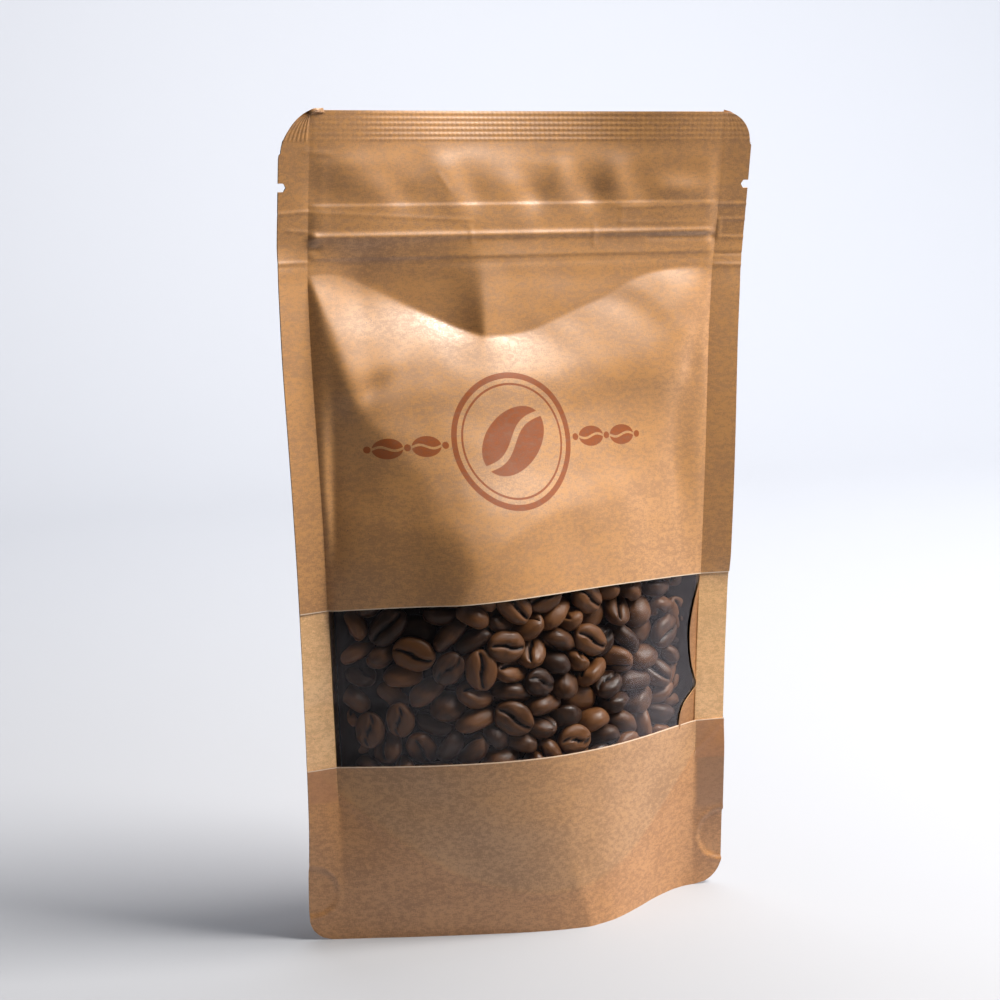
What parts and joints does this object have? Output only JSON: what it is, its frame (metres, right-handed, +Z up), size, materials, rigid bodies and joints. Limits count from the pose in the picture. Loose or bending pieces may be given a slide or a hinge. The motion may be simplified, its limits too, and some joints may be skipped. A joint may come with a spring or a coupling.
{
  "type": "kraft stand-up pouch",
  "caption": "Kraft paper stand-up pouch with a clear front window, a zipper, tear notches and an open gusset base, holding roasted coffee beans.",
  "frame": {"origin": "centre of the footprint, at the bottom of the pouch", "axes": "+Z up, -Y out of the front panel with the window, +X to the right as seen from the front"},
  "size_m": [0.13, 0.043, 0.208],
  "materials": {
    "kraft_paper": "satin brown kraft with fine fibres",
    "clear_film": "clear glossy film",
    "roasted_beans": "satin dark brown roasted beans"
  },
  "bodies": {
    "root": {"kraft_pouch": "kraft_paper", "window_film": "clear_film", "bean_fill": "roasted_beans"}
  },
  "joints": []
}
